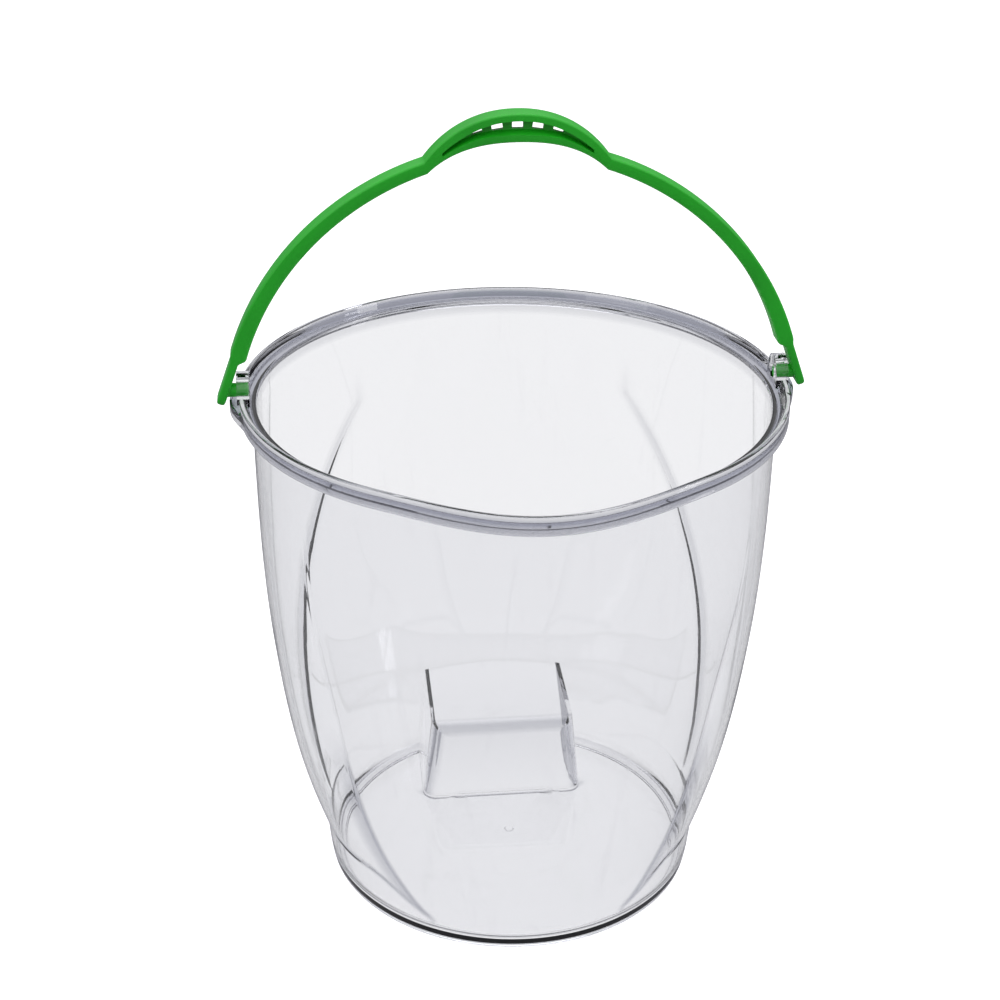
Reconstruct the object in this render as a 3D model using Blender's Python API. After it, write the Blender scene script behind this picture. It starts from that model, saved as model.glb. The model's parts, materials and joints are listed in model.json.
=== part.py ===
"""Clear pouring bucket with a swinging carry handle.

Metres, +Z up, origin under the middle of its footprint.
"""
import math

import bmesh
import bpy
from mathutils import Vector

# Bucket, heights above the surface it stands on
BASE_RADIUS = 0.0990
FOOT_RADIUS = 0.1025
FOOT_HEIGHT = 0.0300
LIP_HEIGHT = 0.2744
LIP_RADIUS = 0.1330
WALL = 0.0022
FLOOR_RISE = 0.0015
FLOOR_THICKNESS = 0.0024
FLOOR_CORNER = 0.0040
FOOT_RING_WIDTH = 0.0031
FOOT_RING_DRAFT = 0.0003
SHELF_WIDTH = 0.0036
PANEL_BOW = 0.0030
LOBE_POWER = 3.0
LOBE_START = math.radians(28)
LOBE_FULL = math.radians(72)

# Rim: an upright collar on the shelf, with a skirt outside it
COLLAR_RISE = 0.0047
COLLAR_TOP = 0.0024
RIM_OVERHANG = 0.0050
SKIRT_DROP = 0.0050
SKIRT_WALL = 0.0022
RIM_ROUND = 0.0006

# Pouring spout, towards -Y
SPOUT_REACH = 0.0036
SPOUT_DIP = 0.0035
SPOUT_HALF_ANGLE = math.radians(34)
SPOUT_DEPTH = 0.020

# Finger pocket pressed into the back of the base
POCKET_WIDTH = 0.082
POCKET_HEIGHT = 0.052
POCKET_FACE = 0.034
POCKET_ROUND = 0.008
POCKET_FLARE = 0.006

# Ears that carry the handle
EAR_INSET = 0.0007
EAR_ROOT = 0.0015
EAR_THICKNESS = 0.0062
EAR_WIDTH = 0.0190
EAR_LEDGE_WIDTH = 0.052
EAR_LEDGE_REACH = 0.0046
EAR_LEDGE_POWER = 0.6
EAR_ABOVE_PIN = 0.0092
PIN_ABOVE_LIP = 0.0060

# Handle
PIN_RADIUS = 0.0035
PIN_CLEARANCE = 0.0004
PIN_REACH = 0.0052
TAB_GAP = 0.0040
TAB_THICKNESS = 0.0042
TAB_BELOW_PIN = 0.0062
TAB_LEAN = math.radians(20)
TAB_LENGTH = 0.0270
TAB_STEP = 0.0040
TAB_END_ROUND = 0.0005
TAB_END_SHARE = 0.62
STRAP_THICKNESS = 0.0060
STRAP_THICKENING = 0.0022
STRAP_DEPTH = 0.0120
STRAP_ROUND = 0.0012
ARCH_HEIGHT = 0.1190
GRIP_HALF_LENGTH = 0.0440
GRIP_TOP_RISE = 0.0154
GRIP_BOTTOM_RISE = 0.0076
GRIP_TOP_POWER = 2.2
GRIP_BOTTOM_POWER = 3.0
GRIP_TOP_FLANGE = 0.0035
GRIP_BOTTOM_FLANGE = 0.0019
GRIP_SLOPE = 0.0035
GRIP_SLOPE_SHARE = 0.55
GRIP_WEB = 0.0024
GRIP_HOLLOW_SHARE = 0.82
WINDOW_COUNT = 5
WINDOW_PITCH = 0.0098
WINDOW_LENGTH = 0.0054
WINDOW_ROUND = 0.0005
WINDOW_EDGE = 0.0004

# How finely the curves are divided, and how far a cutter runs past what it cuts
SEGMENTS = 72
FOOT_ROWS = 4
WALL_ROWS = 13
CORNER_STEPS = 2
EAR_STEPS = 12
ROD_SIDES = 20
GRIP_STATIONS = 12
ARM_STATIONS = 18
CUTTER_MARGIN = 0.0040

CLEAR_COLOUR = (0.90, 0.91, 0.94, 1)
GREEN_COLOUR = (0.022, 0.29, 0.022, 1)

AXIS_Y = SPOUT_REACH / 2
RIM_RADIUS = LIP_RADIUS + RIM_OVERHANG
RIM_TOP = LIP_HEIGHT + COLLAR_RISE
SKIRT_BOTTOM = LIP_HEIGHT - SKIRT_DROP
WALL_TOP_RADIUS = LIP_RADIUS - SHELF_WIDTH + WALL
PIN_HEIGHT = LIP_HEIGHT + PIN_ABOVE_LIP
EAR_INNER = LIP_RADIUS - EAR_INSET
EAR_OUTER = EAR_INNER + EAR_THICKNESS
PIN_POINT = Vector((0, AXIS_Y, PIN_HEIGHT))


def start():
    for obj in list(bpy.data.objects):
        bpy.data.objects.remove(obj, do_unlink=True)
    collections = []
    for name in ("pouring_bucket", "cutters"):
        collection = bpy.data.collections.new(name)
        bpy.context.scene.collection.children.link(collection)
        collections.append(collection)
    collections[1].hide_render = True
    return collections


def plastic(name, colour, roughness, transmission):
    material = bpy.data.materials.new(name)
    material.use_nodes = True
    shader = material.node_tree.nodes["Principled BSDF"]
    shader.inputs["Base Color"].default_value = colour
    shader.inputs["Roughness"].default_value = roughness
    shader.inputs["Transmission Weight"].default_value = transmission
    shader.inputs["IOR"].default_value = 1.5
    return material


def add_mesh(name, collection, build, smooth=35):
    """A new object whose mesh is filled in by build(bm)."""
    mesh = bpy.data.meshes.new(name)
    bm = bmesh.new()
    build(bm)
    bm.normal_update()
    bmesh.ops.recalc_face_normals(bm, faces=bm.faces)
    bm.to_mesh(mesh)
    bm.free()
    mesh.shade_smooth()
    mesh.set_sharp_from_angle(angle=math.radians(smooth))
    obj = bpy.data.objects.new(name, mesh)
    collection.objects.link(obj)
    return obj


def as_cutter(obj, collection):
    for owner in list(obj.users_collection):
        owner.objects.unlink(obj)
    collection.objects.link(obj)
    obj.hide_render = True
    obj.display_type = "WIRE"
    return obj


def boolean(obj, other, operation):
    modifier = obj.modifiers.new(f"{operation.lower()} {other.name}", "BOOLEAN")
    modifier.operation = operation
    modifier.object = other


def smooth_step(value, low, high):
    share = min(max((value - low) / (high - low), 0), 1)
    return share * share * (3 - 2 * share)


def around(angle):
    """Half turns from the spout: 0 at the front, pi at the back."""
    return abs(math.remainder(angle, 2 * math.pi))


def panel_radius(height):
    """Outer radius of the front and back panels."""
    if height < FOOT_HEIGHT:
        return BASE_RADIUS + (FOOT_RADIUS - BASE_RADIUS) * math.sqrt(height / FOOT_HEIGHT)
    share = (height - FOOT_HEIGHT) / (LIP_HEIGHT - FOOT_HEIGHT)
    straight = FOOT_RADIUS + (WALL_TOP_RADIUS - FOOT_RADIUS) * min(share, 1)
    return straight + PANEL_BOW * math.sin(math.pi * min(share, 1))


def lobe_radius(height):
    """Outer radius of the two side lobes, which curve in to meet the foot."""
    if height < FOOT_HEIGHT:
        return panel_radius(height)
    share = min((height - FOOT_HEIGHT) / (LIP_HEIGHT - FOOT_HEIGHT), 1)
    return WALL_TOP_RADIUS - (WALL_TOP_RADIUS - FOOT_RADIUS) * (1 - share) ** LOBE_POWER


def body_radius(angle, height):
    turned = around(angle)
    side = min(turned, math.pi - turned)
    lobe = smooth_step(side, LOBE_START, LOBE_FULL)
    panel = panel_radius(height)
    return panel + (lobe_radius(height) - panel) * lobe


def spout(angle, height):
    """How far the rim and the wall under it are pushed out, and let down, for pouring."""
    turned = min(around(angle), SPOUT_HALF_ANGLE)
    across = 0.5 + 0.5 * math.cos(math.pi * turned / SPOUT_HALF_ANGLE)
    share = across * smooth_step(height, LIP_HEIGHT - SPOUT_DEPTH, LIP_HEIGHT)
    return SPOUT_REACH * share, SPOUT_DIP * share


def wall_point(angle, height, inset):
    """Radius and height of a point on the wall, with the spout's shape in it."""
    reach, dip = spout(angle, height)
    return body_radius(angle, height) + reach - inset, height - dip


def ear_ledge(angle):
    """How far the rim widens under each ear."""
    from_ear = abs(around(angle) - math.pi / 2) * RIM_RADIUS
    if from_ear > EAR_LEDGE_WIDTH / 2:
        return 0
    across = 0.5 + 0.5 * math.cos(2 * math.pi * from_ear / EAR_LEDGE_WIDTH)
    return EAR_LEDGE_REACH * across**EAR_LEDGE_POWER


def heights(low, high, count):
    return [low + (high - low) * i / count for i in range(count + 1)]


def wall_rows(low, high, inset, count):
    """Profile rows of the body wall, as functions of the angle."""
    return [lambda angle, z=z: wall_point(angle, z, inset) for z in heights(low, high, count)]


def rim_row(radius, height, ledge=1.0):
    """A row of the rim, which the ear ledges widen by a share of their reach."""

    def row(angle):
        reach, dip = spout(angle, LIP_HEIGHT)
        return radius + reach + ledge * ear_ledge(angle), height - dip

    return row


def turned_solid(name, collection, rows):
    """A closed loft: every row is a ring around the bucket's axis, and the first and last are filled."""

    def build(bm):
        rings = []
        for row in rows:
            ring = []
            for i in range(SEGMENTS):
                angle = 2 * math.pi * (i + 0.5) / SEGMENTS
                radius, height = row(angle)
                x, y = radius * math.sin(angle), AXIS_Y - radius * math.cos(angle)
                ring.append(bm.verts.new((x, y, height)))
            rings.append(ring)
        for lower, upper in zip(rings, rings[1:]):
            for i in range(SEGMENTS):
                j = (i + 1) % SEGMENTS
                bm.faces.new((lower[i], lower[j], upper[j], upper[i]))
        bm.faces.new(rings[0])
        bm.faces.new(rings[-1])

    return add_mesh(name, collection, build)


def envelope(collection):
    """Everything inside the bucket's outer skin, with the hollow under the rim's skirt."""
    skirt_inside = RIM_RADIUS - SKIRT_WALL
    under_flange = LIP_HEIGHT - WALL
    rows = wall_rows(0, FOOT_HEIGHT, 0, FOOT_ROWS) + wall_rows(FOOT_HEIGHT, under_flange, 0, WALL_ROWS)[1:]
    rows += [
        rim_row(skirt_inside, under_flange),
        rim_row(skirt_inside, SKIRT_BOTTOM),
        rim_row(RIM_RADIUS - RIM_ROUND, SKIRT_BOTTOM),
        rim_row(RIM_RADIUS, SKIRT_BOTTOM + RIM_ROUND),
        rim_row(RIM_RADIUS, LIP_HEIGHT + RIM_ROUND),
        rim_row(RIM_RADIUS, RIM_TOP - RIM_ROUND, 0.0),
        rim_row(RIM_RADIUS - RIM_ROUND, RIM_TOP, 0.0),
        rim_row(RIM_RADIUS - COLLAR_TOP, RIM_TOP, 0.0),
    ]
    return turned_solid("bucket", collection, rows)


def cavity(collection):
    """The space inside the bucket, out through its mouth."""
    floor = FLOOR_RISE + FLOOR_THICKNESS
    rows = []
    for step in range(CORNER_STEPS):
        turn = math.pi / 2 * step / CORNER_STEPS
        inset = WALL + FLOOR_CORNER * (1 - math.sin(turn))
        rows += wall_rows(floor + FLOOR_CORNER * (1 - math.cos(turn)), LIP_HEIGHT, inset, 1)[:1]
    rows += wall_rows(floor + FLOOR_CORNER, LIP_HEIGHT - RIM_ROUND, WALL, WALL_ROWS)
    rows += [
        rim_row(LIP_RADIUS, LIP_HEIGHT, 0.0),
        rim_row(RIM_RADIUS - COLLAR_TOP, RIM_TOP, 0.0),
        rim_row(RIM_RADIUS - COLLAR_TOP, RIM_TOP + CUTTER_MARGIN, 0.0),
    ]
    return turned_solid("cavity", collection, rows)


def under_floor(collection):
    """The shallow space under the raised floor, inside the foot ring."""
    radius = BASE_RADIUS - FOOT_RING_WIDTH
    rows = [
        lambda angle: (radius, -CUTTER_MARGIN),
        lambda angle: (radius, 0),
        lambda angle: (radius - FOOT_RING_DRAFT, FLOOR_RISE),
    ]
    return turned_solid("under_floor", collection, rows)


def pocket(name, collection, grow):
    """The finger pocket, or with grow the same shape a wall larger."""
    half = POCKET_WIDTH / 2 - WALL + grow
    top = POCKET_HEIGHT - WALL + grow
    face = AXIS_Y + POCKET_FACE + WALL - grow

    def build(bm):
        bmesh.ops.create_cube(bm, size=2)
        for vert in bm.verts:
            is_low = vert.co.z < 0
            vert.co.x *= half + (POCKET_FLARE if is_low else 0)
            vert.co.y = face if vert.co.y < 0 else LIP_RADIUS
            vert.co.z = -CUTTER_MARGIN - grow if is_low else top
        # The inner face and the roof's long edges are rounded. The open side and the foot stay square.
        rounded = []
        for edge in bm.edges:
            first, second = (vert.co for vert in edge.verts)
            inner = max(first.y, second.y) <= face
            along_y = first.z == second.z == top and first.x == second.x
            if (inner or along_y) and max(first.z, second.z) > 0:
                rounded.append(edge)
        bmesh.ops.bevel(bm, geom=rounded, offset=POCKET_ROUND, segments=3, profile=0.5, affect="EDGES")

    return add_mesh(name, collection, build)


def ear(side, collection):
    """The upright ear on the rim's ledge, rounded at the top, without its bore."""
    low = LIP_HEIGHT - EAR_ROOT
    radius = EAR_WIDTH / 2
    centre = PIN_HEIGHT + EAR_ABOVE_PIN - radius

    def build(bm):
        outline = [(-radius, low), (radius, low)]
        for i in range(EAR_STEPS + 1):
            turn = math.pi * i / EAR_STEPS
            outline.append((radius * math.cos(turn), centre + radius * math.sin(turn)))
        faces = []
        for x in (EAR_INNER, EAR_OUTER):
            faces.append([bm.verts.new((side * x, AXIS_Y + y, z)) for y, z in outline])
        for ring in faces:
            bm.faces.new(ring)
        for i in range(len(outline)):
            j = (i + 1) % len(outline)
            bm.faces.new((faces[0][i], faces[0][j], faces[1][j], faces[1][i]))

    return add_mesh(f"ear_{'right' if side > 0 else 'left'}", collection, build)


def rod(name, collection, radius, start_x, end_x):
    """A round bar along X on the pin's axis."""

    def build(bm):
        bmesh.ops.create_cone(bm, cap_ends=True, segments=ROD_SIDES, radius1=radius, radius2=radius, depth=1)
        for vert in bm.verts:
            x = start_x if vert.co.z < 0 else end_x
            vert.co = Vector((x, vert.co.x, vert.co.y)) + PIN_POINT

    return add_mesh(name, collection, build)


def make_bucket(parts, cutters, material):
    bucket = envelope(parts)
    inside = as_cutter(cavity(cutters), cutters)
    below = as_cutter(under_floor(cutters), cutters)
    liner = as_cutter(pocket("pocket_liner", cutters, WALL), cutters)
    opening = as_cutter(pocket("pocket_opening", cutters, 0), cutters)
    boolean(inside, liner, "DIFFERENCE")
    boolean(below, liner, "DIFFERENCE")
    for side in (-1, 1):
        boolean(bucket, as_cutter(ear(side, cutters), cutters), "UNION")
    boolean(bucket, inside, "DIFFERENCE")
    boolean(bucket, below, "DIFFERENCE")
    boolean(bucket, opening, "DIFFERENCE")
    for side in (-1, 1):
        start_x = side * (EAR_INNER - CUTTER_MARGIN)
        end_x = side * (EAR_OUTER + CUTTER_MARGIN)
        name = f"pin_hole_{'right' if side > 0 else 'left'}"
        hole = rod(name, cutters, PIN_RADIUS + PIN_CLEARANCE, start_x, end_x)
        boolean(bucket, as_cutter(hole, cutters), "DIFFERENCE")
    bucket.data.materials.append(material)
    return bucket


def tab_ends():
    """Centre line of the right tab, before its step to the thinner section, from the pin's axis."""
    at_pin = EAR_OUTER + TAB_GAP + TAB_THICKNESS / 2 / math.cos(TAB_LEAN)
    along = Vector((math.sin(TAB_LEAN), 0, -math.cos(TAB_LEAN)))
    low = Vector((at_pin, 0, 0)) + along * (TAB_BELOW_PIN / math.cos(TAB_LEAN))
    return low - along * TAB_LENGTH, low, along


def arch_circle():
    """Radius and centre height of the circle through the crown and the tab's upper end."""
    top, _, _ = tab_ends()
    rise = ARCH_HEIGHT - top.z
    radius = (rise**2 + top.x**2) / (2 * rise)
    return radius, ARCH_HEIGHT - radius


def grip_share(x, power):
    return max(0.0, 1 - (abs(x) / GRIP_HALF_LENGTH) ** power)


def grip_faces(x):
    """How far the grip's bottom and top rise above the strap's own faces."""
    bottom = GRIP_BOTTOM_RISE * grip_share(x, GRIP_BOTTOM_POWER)
    top = GRIP_TOP_RISE * grip_share(x, GRIP_TOP_POWER)
    return bottom, top


def strap_section(depth, low, high, round_by):
    """A rectangle with cut corners: (along Y, out from the centre line)."""
    half = depth / 2
    return [
        (half, low + round_by), (half, high - round_by), (half - round_by, high), (round_by - half, high),
        (-half, high - round_by), (-half, low + round_by), (round_by - half, low), (half - round_by, low),
    ]


def strap(collection):
    radius, centre_height = arch_circle()
    top, low, along = tab_ends()
    sweep = math.atan2(top.x, top.z - centre_height)
    grip_sweep = math.asin(GRIP_HALF_LENGTH / radius)
    angles = [grip_sweep * i / GRIP_STATIONS for i in range(GRIP_STATIONS + 1)]
    angles += [grip_sweep + (sweep - grip_sweep) * (i + 1) / ARM_STATIONS for i in range(ARM_STATIONS)]
    half = STRAP_THICKNESS / 2
    stations = []
    for angle in angles:
        out = Vector((math.sin(angle), 0, math.cos(angle)))
        bottom, rise = grip_faces(radius * math.sin(angle))
        # Each arm thickens on its inner side on the way down to its tab.
        thicker = STRAP_THICKENING * max(0, angle - grip_sweep) / (sweep - grip_sweep)
        point = out * radius + Vector((0, 0, centre_height))
        stations.append((point, out, bottom - half - thicker, rise + half, STRAP_DEPTH, STRAP_ROUND))
    # The strap steps down on its inner side to the thinner tab, whose end is narrower.
    out = Vector((math.cos(TAB_LEAN), 0, math.sin(TAB_LEAN)))
    outer = TAB_THICKNESS / 2
    step, end = along * TAB_STEP, TAB_END_ROUND
    for point in (top + step, low - step):
        stations.append((point, out, -outer, outer, STRAP_DEPTH, STRAP_ROUND))
    stations.append((low, out, end - outer, outer - end, STRAP_DEPTH * TAB_END_SHARE, STRAP_ROUND))
    mirror = Vector((-1, 1, 1))
    left = [(p * mirror, n * mirror, *rest) for p, n, *rest in reversed(stations[1:])]

    def build(bm):
        rings = []
        for point, normal, inner, outer, depth, round_by in left + stations:
            centre = PIN_POINT + point
            section = strap_section(depth, inner, outer, round_by)
            rings.append([bm.verts.new(centre + normal * t + Vector((0, y, 0))) for y, t in section])
        for a, b in zip(rings, rings[1:]):
            for i in range(len(a)):
                j = (i + 1) % len(a)
                bm.faces.new((a[i], a[j], b[j], b[i]))
        bm.faces.new(rings[0])
        bm.faces.new(rings[-1])

    return add_mesh("carry_handle", collection, build)


def grip_gap(x):
    """Heights above the pins between the grip's flanges: at the open side, the web and the top."""
    radius, centre_height = arch_circle()
    bottom, rise = grip_faces(x)
    arch = centre_height + math.sqrt(radius**2 - x**2)
    low = arch + bottom - STRAP_THICKNESS / 2 + GRIP_BOTTOM_FLANGE
    high = arch + rise + STRAP_THICKNESS / 2 - GRIP_TOP_FLANGE
    return low, low + min(GRIP_SLOPE, GRIP_SLOPE_SHARE * (high - low)), high


def grip_hollow(side, collection):
    """The recess between the flanges on one side of the grip's web. Its lower face slopes up to the web."""
    reach = GRIP_HALF_LENGTH * GRIP_HOLLOW_SHARE
    near, far = side * GRIP_WEB / 2, side * (STRAP_DEPTH / 2 + CUTTER_MARGIN)

    def build(bm):
        rings = []
        for i in range(2 * GRIP_STATIONS + 1):
            x = reach * (i / GRIP_STATIONS - 1)
            low, web_low, high = grip_gap(x)
            corners = ((near, web_low), (far, low), (far, high), (near, high))
            rings.append([bm.verts.new(PIN_POINT + Vector((x, y, z))) for y, z in corners])
        for a, b in zip(rings, rings[1:]):
            for i in range(len(a)):
                j = (i + 1) % len(a)
                bm.faces.new((a[i], a[j], b[j], b[i]))
        bm.faces.new(rings[0])
        bm.faces.new(rings[-1])

    return add_mesh(f"grip_hollow_{'back' if side > 0 else 'front'}", collection, build)


def window(index, collection):
    """One of the openings through the grip's web, close under its upper flange."""
    x = (index - (WINDOW_COUNT - 1) / 2) * WINDOW_PITCH
    _, low, high = grip_gap(x)

    def build(bm):
        bmesh.ops.create_cube(bm, size=1)
        for vert in bm.verts:
            vert.co.x = x + vert.co.x * WINDOW_LENGTH
            vert.co.y *= 2 * STRAP_DEPTH
            vert.co.z = high - WINDOW_EDGE if vert.co.z > 0 else low + WINDOW_EDGE
            vert.co += PIN_POINT
        along_y = [e for e in bm.edges if abs(e.verts[0].co.y - e.verts[1].co.y) > STRAP_DEPTH]
        bmesh.ops.bevel(bm, geom=along_y, offset=WINDOW_ROUND, segments=1, affect="EDGES")

    return add_mesh(f"window_{index + 1}", collection, build)


def make_handle(parts, cutters, material):
    handle = strap(parts)
    for side in (-1, 1):
        start_x = side * (EAR_OUTER - PIN_REACH)
        end_x = side * (EAR_OUTER + TAB_GAP + TAB_THICKNESS / 2)
        pin = rod(f"pin_{'right' if side > 0 else 'left'}", cutters, PIN_RADIUS, start_x, end_x)
        boolean(handle, as_cutter(pin, cutters), "UNION")
        boolean(handle, as_cutter(grip_hollow(side, cutters), cutters), "DIFFERENCE")
    for index in range(WINDOW_COUNT):
        boolean(handle, as_cutter(window(index, cutters), cutters), "DIFFERENCE")
    handle.data.materials.append(material)
    # The handle turns about the pins, so its origin goes on their axis.
    for vert in handle.data.vertices:
        vert.co -= PIN_POINT
    handle.location = PIN_POINT
    return handle


def main():
    parts, cutters = start()
    clear = plastic("clear plastic", CLEAR_COLOUR, 0.05, 1.0)
    green = plastic("green plastic", GREEN_COLOUR, 0.35, 0.0)
    make_bucket(parts, cutters, clear)
    make_handle(parts, cutters, green)


main()
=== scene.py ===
import json
import math

import bmesh
import bpy
from mathutils import Matrix, Vector


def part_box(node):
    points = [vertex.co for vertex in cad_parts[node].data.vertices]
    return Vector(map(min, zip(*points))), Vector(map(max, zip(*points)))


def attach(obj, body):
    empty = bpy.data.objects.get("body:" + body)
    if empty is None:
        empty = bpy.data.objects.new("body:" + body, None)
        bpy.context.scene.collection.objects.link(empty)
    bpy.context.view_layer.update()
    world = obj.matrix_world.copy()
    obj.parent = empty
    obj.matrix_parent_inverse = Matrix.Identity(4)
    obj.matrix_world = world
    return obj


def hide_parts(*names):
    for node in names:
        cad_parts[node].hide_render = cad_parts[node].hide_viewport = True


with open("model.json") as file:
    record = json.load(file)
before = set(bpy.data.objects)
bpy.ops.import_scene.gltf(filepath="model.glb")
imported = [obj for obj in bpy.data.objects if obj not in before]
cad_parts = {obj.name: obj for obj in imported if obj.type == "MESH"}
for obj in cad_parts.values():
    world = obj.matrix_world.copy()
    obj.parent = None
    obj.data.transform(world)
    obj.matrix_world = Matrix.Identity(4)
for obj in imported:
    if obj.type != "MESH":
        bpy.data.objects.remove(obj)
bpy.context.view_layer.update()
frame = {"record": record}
pivot = Vector(frame["record"]["behaviour"]["joints"][0]["pos_m"])
handleLow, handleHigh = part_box("carry_handle")
bucketLow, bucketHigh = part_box("bucket")
axisY = pivot.y  # the bucket's own axis, a little behind the middle because of the spout



def ease(value, low, high):
    share = min(max((value - low) / (high - low), 0), 1)
    return share * share * (3 - 2 * share)


def meshFromRings(name, rings, closed=True):
    # rings of equal length become one closed skin, with both ends filled
    bm = bmesh.new()
    made = [[bm.verts.new(p) for p in ring] for ring in rings]
    count = len(made[0])
    for lower, upper in zip(made, made[1:]):
        for i in range(count):
            j = (i + 1) % count
            bm.faces.new((lower[i], lower[j], upper[j], upper[i]))
    bm.faces.new(made[0])
    bm.faces.new(made[-1])
    bmesh.ops.triangulate(bm, faces=[f for f in bm.faces if len(f.verts) > 4])
    bm.normal_update()
    bmesh.ops.recalc_face_normals(bm, faces=bm.faces)
    mesh = bpy.data.meshes.new(name)
    bm.to_mesh(mesh)
    bm.free()
    piece = bpy.data.objects.new(name, mesh)
    bpy.context.scene.collection.objects.link(piece)
    return piece


def applyModifiers(piece):
    graph = bpy.context.evaluated_depsgraph_get()
    mesh = bpy.data.meshes.new_from_object(piece.evaluated_get(graph))
    piece.modifiers.clear()
    old = piece.data
    piece.data = mesh
    bpy.data.meshes.remove(old)
    return piece


def combine(piece, other, operation):
    step = piece.modifiers.new("join", "BOOLEAN")
    step.operation = operation
    step.solver = "MANIFOLD"
    step.object = other
    applyModifiers(piece)
    bpy.data.objects.remove(other)
    return piece


def smooth(piece, degrees):
    piece.data.shade_smooth()
    piece.data.set_sharp_from_angle(angle=math.radians(degrees))
    return piece



def nodeAdder(tree):
    def add(kind, **values):
        node = tree.nodes.new(kind)
        for key, value in values.items():
            if hasattr(node, key):
                setattr(node, key, value)
            else:
                node.inputs[key.replace("_", " ")].default_value = value
        return node
    return add


def makeMouldWear():
    # faint flow lines from moulding, fine rubbed scratches and specks of dust
    tree = bpy.data.node_groups.new("mouldWear", "ShaderNodeTree")
    face = tree.interface
    for name, value in (("Flow Scale", 9.0), ("Scratch Scale", 60.0), ("Speck Scale", 420.0)):
        face.new_socket(name, in_out="INPUT", socket_type="NodeSocketFloat").default_value = value
    for name in ("Flow", "Scratches", "Specks"):
        face.new_socket(name, in_out="OUTPUT", socket_type="NodeSocketFloat")
    add = nodeAdder(tree)
    start, end = add("NodeGroupInput"), add("NodeGroupOutput")
    coords = add("ShaderNodeTexCoord")
    link = tree.links.new

    flow = add("ShaderNodeTexNoise", Detail=2.0, Roughness=0.45)
    link(coords.outputs["Object"], flow.inputs["Vector"])
    link(start.outputs["Flow Scale"], flow.inputs["Scale"])
    link(flow.outputs["Fac"], end.inputs["Flow"])

    stretch = add("ShaderNodeMapping")
    stretch.inputs["Scale"].default_value = (1.0, 1.0, 0.12)
    stretch.inputs["Rotation"].default_value = (0.35, 0.2, 0.0)
    link(coords.outputs["Object"], stretch.inputs["Vector"])
    streaks = add("ShaderNodeTexNoise", Detail=6.0, Roughness=0.7, Distortion=0.6)
    link(stretch.outputs["Vector"], streaks.inputs["Vector"])
    link(start.outputs["Scratch Scale"], streaks.inputs["Scale"])
    thin = add("ShaderNodeValToRGB")
    thin.color_ramp.elements[0].position = 0.60
    thin.color_ramp.elements[1].position = 0.72
    link(streaks.outputs["Fac"], thin.inputs["Fac"])
    link(thin.outputs["Color"], end.inputs["Scratches"])

    specks = add("ShaderNodeTexVoronoi", feature="F1")
    link(coords.outputs["Object"], specks.inputs["Vector"])
    link(start.outputs["Speck Scale"], specks.inputs["Scale"])
    dots = add("ShaderNodeMapRange")
    dots.inputs["From Min"].default_value = 0.10
    dots.inputs["From Max"].default_value = 0.04
    link(specks.outputs["Distance"], dots.inputs["Value"])
    link(dots.outputs["Result"], end.inputs["Specks"])
    return tree


def newMaterial(name):
    material = bpy.data.materials.new(name)
    material.use_nodes = True
    material.node_tree.nodes.clear()
    return material, nodeAdder(material.node_tree), material.node_tree.links.new


# the dark blue edge colour is painted shade, mixed in at edges, steps and the rim
clearLook = dict(
    tint=(0.922, 0.924, 0.940, 1), rubbedTint=(0.88, 0.88, 0.90, 1), paintedShadeTint=(0.11, 0.12, 0.19, 1), ior=1.53,
    roughness=0.012, rubbedRoughness=0.10, shadowTint=(0.93, 0.93, 0.96, 1), ripple=0.05,
)


def makeClearPlastic(wearGroup):
    material, add, link = newMaterial("clearStyrene")
    wear = add("ShaderNodeGroup", node_tree=wearGroup)
    wear.inputs["Flow Scale"].default_value = 14
    wear.inputs["Scratch Scale"].default_value = 70
    wear.inputs["Speck Scale"].default_value = 260
    colour = add("ShaderNodeMixRGB")
    colour.inputs["Color1"].default_value = clearLook["tint"]
    colour.inputs["Color2"].default_value = clearLook["rubbedTint"]
    link(wear.outputs["Scratches"], colour.inputs["Fac"])
    # painted shade: edges, steps and the rim are painted darker and bluer by a per-vertex attribute, in place of the
    # dark they show through refraction
    depth = add("ShaderNodeAttribute", attribute_name="paintedEdgeShade")
    shadedColour = add("ShaderNodeMixRGB")
    shadedColour.inputs["Color2"].default_value = clearLook["paintedShadeTint"]
    link(depth.outputs["Fac"], shadedColour.inputs["Fac"])
    link(colour.outputs["Color"], shadedColour.inputs["Color1"])
    gloss = add("ShaderNodeMapRange")
    gloss.inputs["To Min"].default_value = clearLook["roughness"]
    gloss.inputs["To Max"].default_value = clearLook["rubbedRoughness"]
    link(wear.outputs["Scratches"], gloss.inputs["Value"])
    bump = add("ShaderNodeBump", Strength=clearLook["ripple"], Distance=0.002)
    link(wear.outputs["Flow"], bump.inputs["Height"])
    shader = add("ShaderNodeBsdfPrincipled")
    shader.inputs["Transmission Weight"].default_value = 1.0
    shader.inputs["IOR"].default_value = clearLook["ior"]
    shader.inputs["Metallic"].default_value = 0.0
    link(shadedColour.outputs["Color"], shader.inputs["Base Color"])
    link(gloss.outputs["Result"], shader.inputs["Roughness"])
    link(bump.outputs["Normal"], shader.inputs["Normal"])
    # lamps shine through the clear wall, so its shadow stays light
    through = add("ShaderNodeBsdfTransparent")
    through.inputs["Color"].default_value = clearLook["shadowTint"]
    path = add("ShaderNodeLightPath")
    mix = add("ShaderNodeMixShader")
    link(path.outputs["Is Shadow Ray"], mix.inputs["Fac"])
    link(shader.outputs["BSDF"], mix.inputs[1])
    link(through.outputs["BSDF"], mix.inputs[2])
    end = add("ShaderNodeOutputMaterial")
    link(mix.outputs["Shader"], end.inputs["Surface"])
    return material


greenLook = dict(
    colour=(0.010, 0.430, 0.012, 1), lighterEdge=(0.030, 0.520, 0.034, 1), shade=(0.007, 0.360, 0.009, 1),
    roughness=0.42, rubbedRoughness=0.58, grain=0.12,
)


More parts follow.
